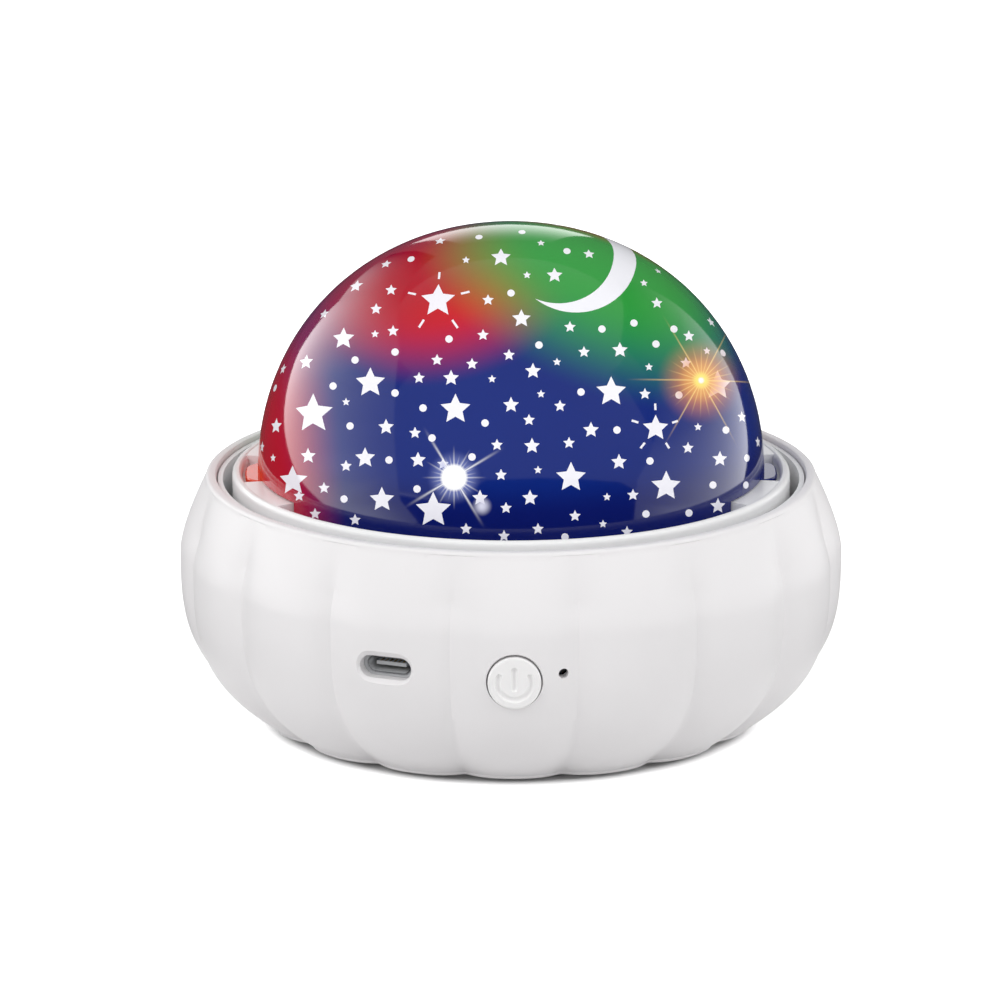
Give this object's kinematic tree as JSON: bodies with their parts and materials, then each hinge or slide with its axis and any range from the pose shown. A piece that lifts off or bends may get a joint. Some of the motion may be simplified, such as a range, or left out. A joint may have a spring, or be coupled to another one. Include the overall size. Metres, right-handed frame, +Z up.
{
  "type": "star night light projector",
  "caption": "Lobed round night light whose printed star dome sits in a turning tray over coloured lamps and lifts off.",
  "frame": {"origin": "middle of the resting plane under the feet", "axes": "+Z up along the dome's turning axis, -Y towards the power button, +X to the right as seen from the front"},
  "size_m": [0.13, 0.13, 0.0978],
  "materials": {
    "housing_plastic": "moulded ABS, fine matte",
    "inner_plastic": "moulded ABS, satin",
    "tray_plastic": "moulded ABS, polished",
    "button_plastic": "moulded ABS, satin",
    "dome_print": "clear polycarbonate with a dark blue star print",
    "foot_rubber": "matte rubber",
    "screw_steel": "zinc plated",
    "motor_steel": "drawn sheet steel",
    "port_steel": "stamped stainless steel",
    "gear_plastic": "moulded acetal",
    "board_green": "glass epoxy with solder mask",
    "led_red": "cast epoxy lens",
    "led_green": "cast epoxy lens",
    "led_blue": "cast epoxy lens",
    "led_white": "cast epoxy lens",
    "switch_black": "moulded nylon",
    "cell_wrap": "shrink sleeve",
    "contact_brass": "stamped sheet"
  },
  "bodies": {
    "base": {"base_housing": "housing_plastic", "bottom_cover": "housing_plastic", "rubber_feet": "foot_rubber", "cover_screws": "screw_steel", "chassis": "inner_plastic", "motor_gearcase": "motor_steel", "motor_can": "motor_steel", "motor_screws": "screw_steel", "lamp_deck": "tray_plastic", "lamp_deck_screws": "screw_steel", "led_holder": "tray_plastic", "led_board": "board_green", "red_led": "led_red", "green_led": "led_green", "blue_led": "led_blue", "white_led": "led_white", "control_board": "board_green", "board_screws": "screw_steel", "charging_port": "port_steel", "power_switch": "switch_black", "indicator_led": "led_white", "battery": "cell_wrap", "battery_holder": "switch_black", "battery_contacts": "contact_brass"},
    "tray": {"turntable": "tray_plastic"},
    "dome": {"star_dome": "dome_print"},
    "drive": {"drive_gear": "gear_plastic", "motor_shaft": "screw_steel"},
    "button": {"power_button": "button_plastic", "switch_plunger": "switch_black"}
  },
  "joints": [
    {"name": "dome_spin", "type": "hinge", "parent": "base", "child": "tray", "pos_m": [0, 0, 0.0432], "axis": [0, 0, 1], "continuous": true},
    {"name": "drive_gear_spin", "type": "hinge", "parent": "base", "child": "drive", "pos_m": [0, 0.033, 0.0402], "axis": [0, 0, 1], "continuous": true},
    {"name": "dome_lift", "type": "slide", "parent": "tray", "child": "dome", "axis": [0, 0, 1], "range_m": [0, 0.06]},
    {"name": "power_button_press", "type": "slide", "parent": "base", "child": "button", "axis": [0, 1, 0], "range_m": [0, 0.0008], "stiffness_N_per_m": 600}
  ],
  "couplings": [
    {"joint": "drive_gear_spin", "follows": "dome_spin", "ratio": 5.7143}
  ]
}
